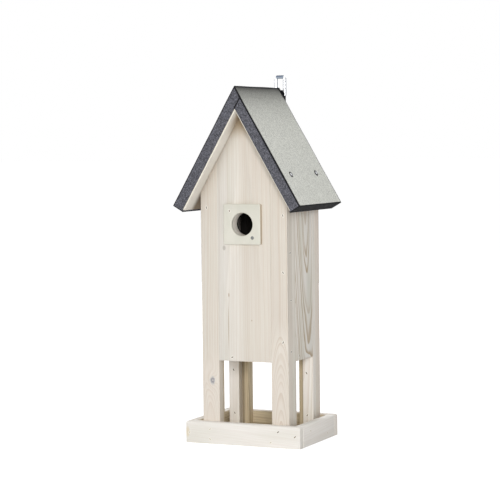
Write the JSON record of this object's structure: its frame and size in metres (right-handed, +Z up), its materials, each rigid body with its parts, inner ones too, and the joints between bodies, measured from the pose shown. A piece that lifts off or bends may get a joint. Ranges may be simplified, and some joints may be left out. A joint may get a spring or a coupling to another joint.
{
  "type": "nest box",
  "caption": "Tall hollow timber nest box on corner legs in a rimmed tray, with a steep gable roof, a round entrance through a square plate and a wire bail to hang it by.",
  "frame": {"origin": "middle of the tray's underside, on the floor", "axes": "+Z up, the entrance faces -Y, +X to the right as seen from the front"},
  "size_m": [0.1932, 0.1595, 0.5196],
  "materials": {
    "whitewashed_pine": "thin white glaze over planed pine, matt",
    "cream_plate": "cream glaze, matt",
    "roof_sheet": "mineral granules on dark bitumen, matt",
    "galvanised_wire": "bright zinc",
    "black_moulding": "satin black"
  },
  "bodies": {
    "root": {"front_left_stile": "whitewashed_pine", "front_right_stile": "whitewashed_pine", "rear_left_stile": "whitewashed_pine", "rear_right_stile": "whitewashed_pine", "left_front_strip": "whitewashed_pine", "left_rear_strip": "whitewashed_pine", "right_front_strip": "whitewashed_pine", "right_rear_strip": "whitewashed_pine", "front_panel": "whitewashed_pine", "rear_panel": "whitewashed_pine", "left_panel": "whitewashed_pine", "right_panel": "whitewashed_pine", "nest_floor": "whitewashed_pine", "entrance_plate": "cream_plate", "left_roof_board": "whitewashed_pine", "right_roof_board": "whitewashed_pine", "left_roof_cover": "roof_sheet", "right_roof_cover": "roof_sheet", "tray_floor": "whitewashed_pine", "tray_front_rim": "whitewashed_pine", "tray_rear_rim": "whitewashed_pine", "tray_left_rim": "whitewashed_pine", "tray_right_rim": "whitewashed_pine", "hanger_bail": "galvanised_wire", "hanger_saddle": "black_moulding"}
  },
  "joints": []
}
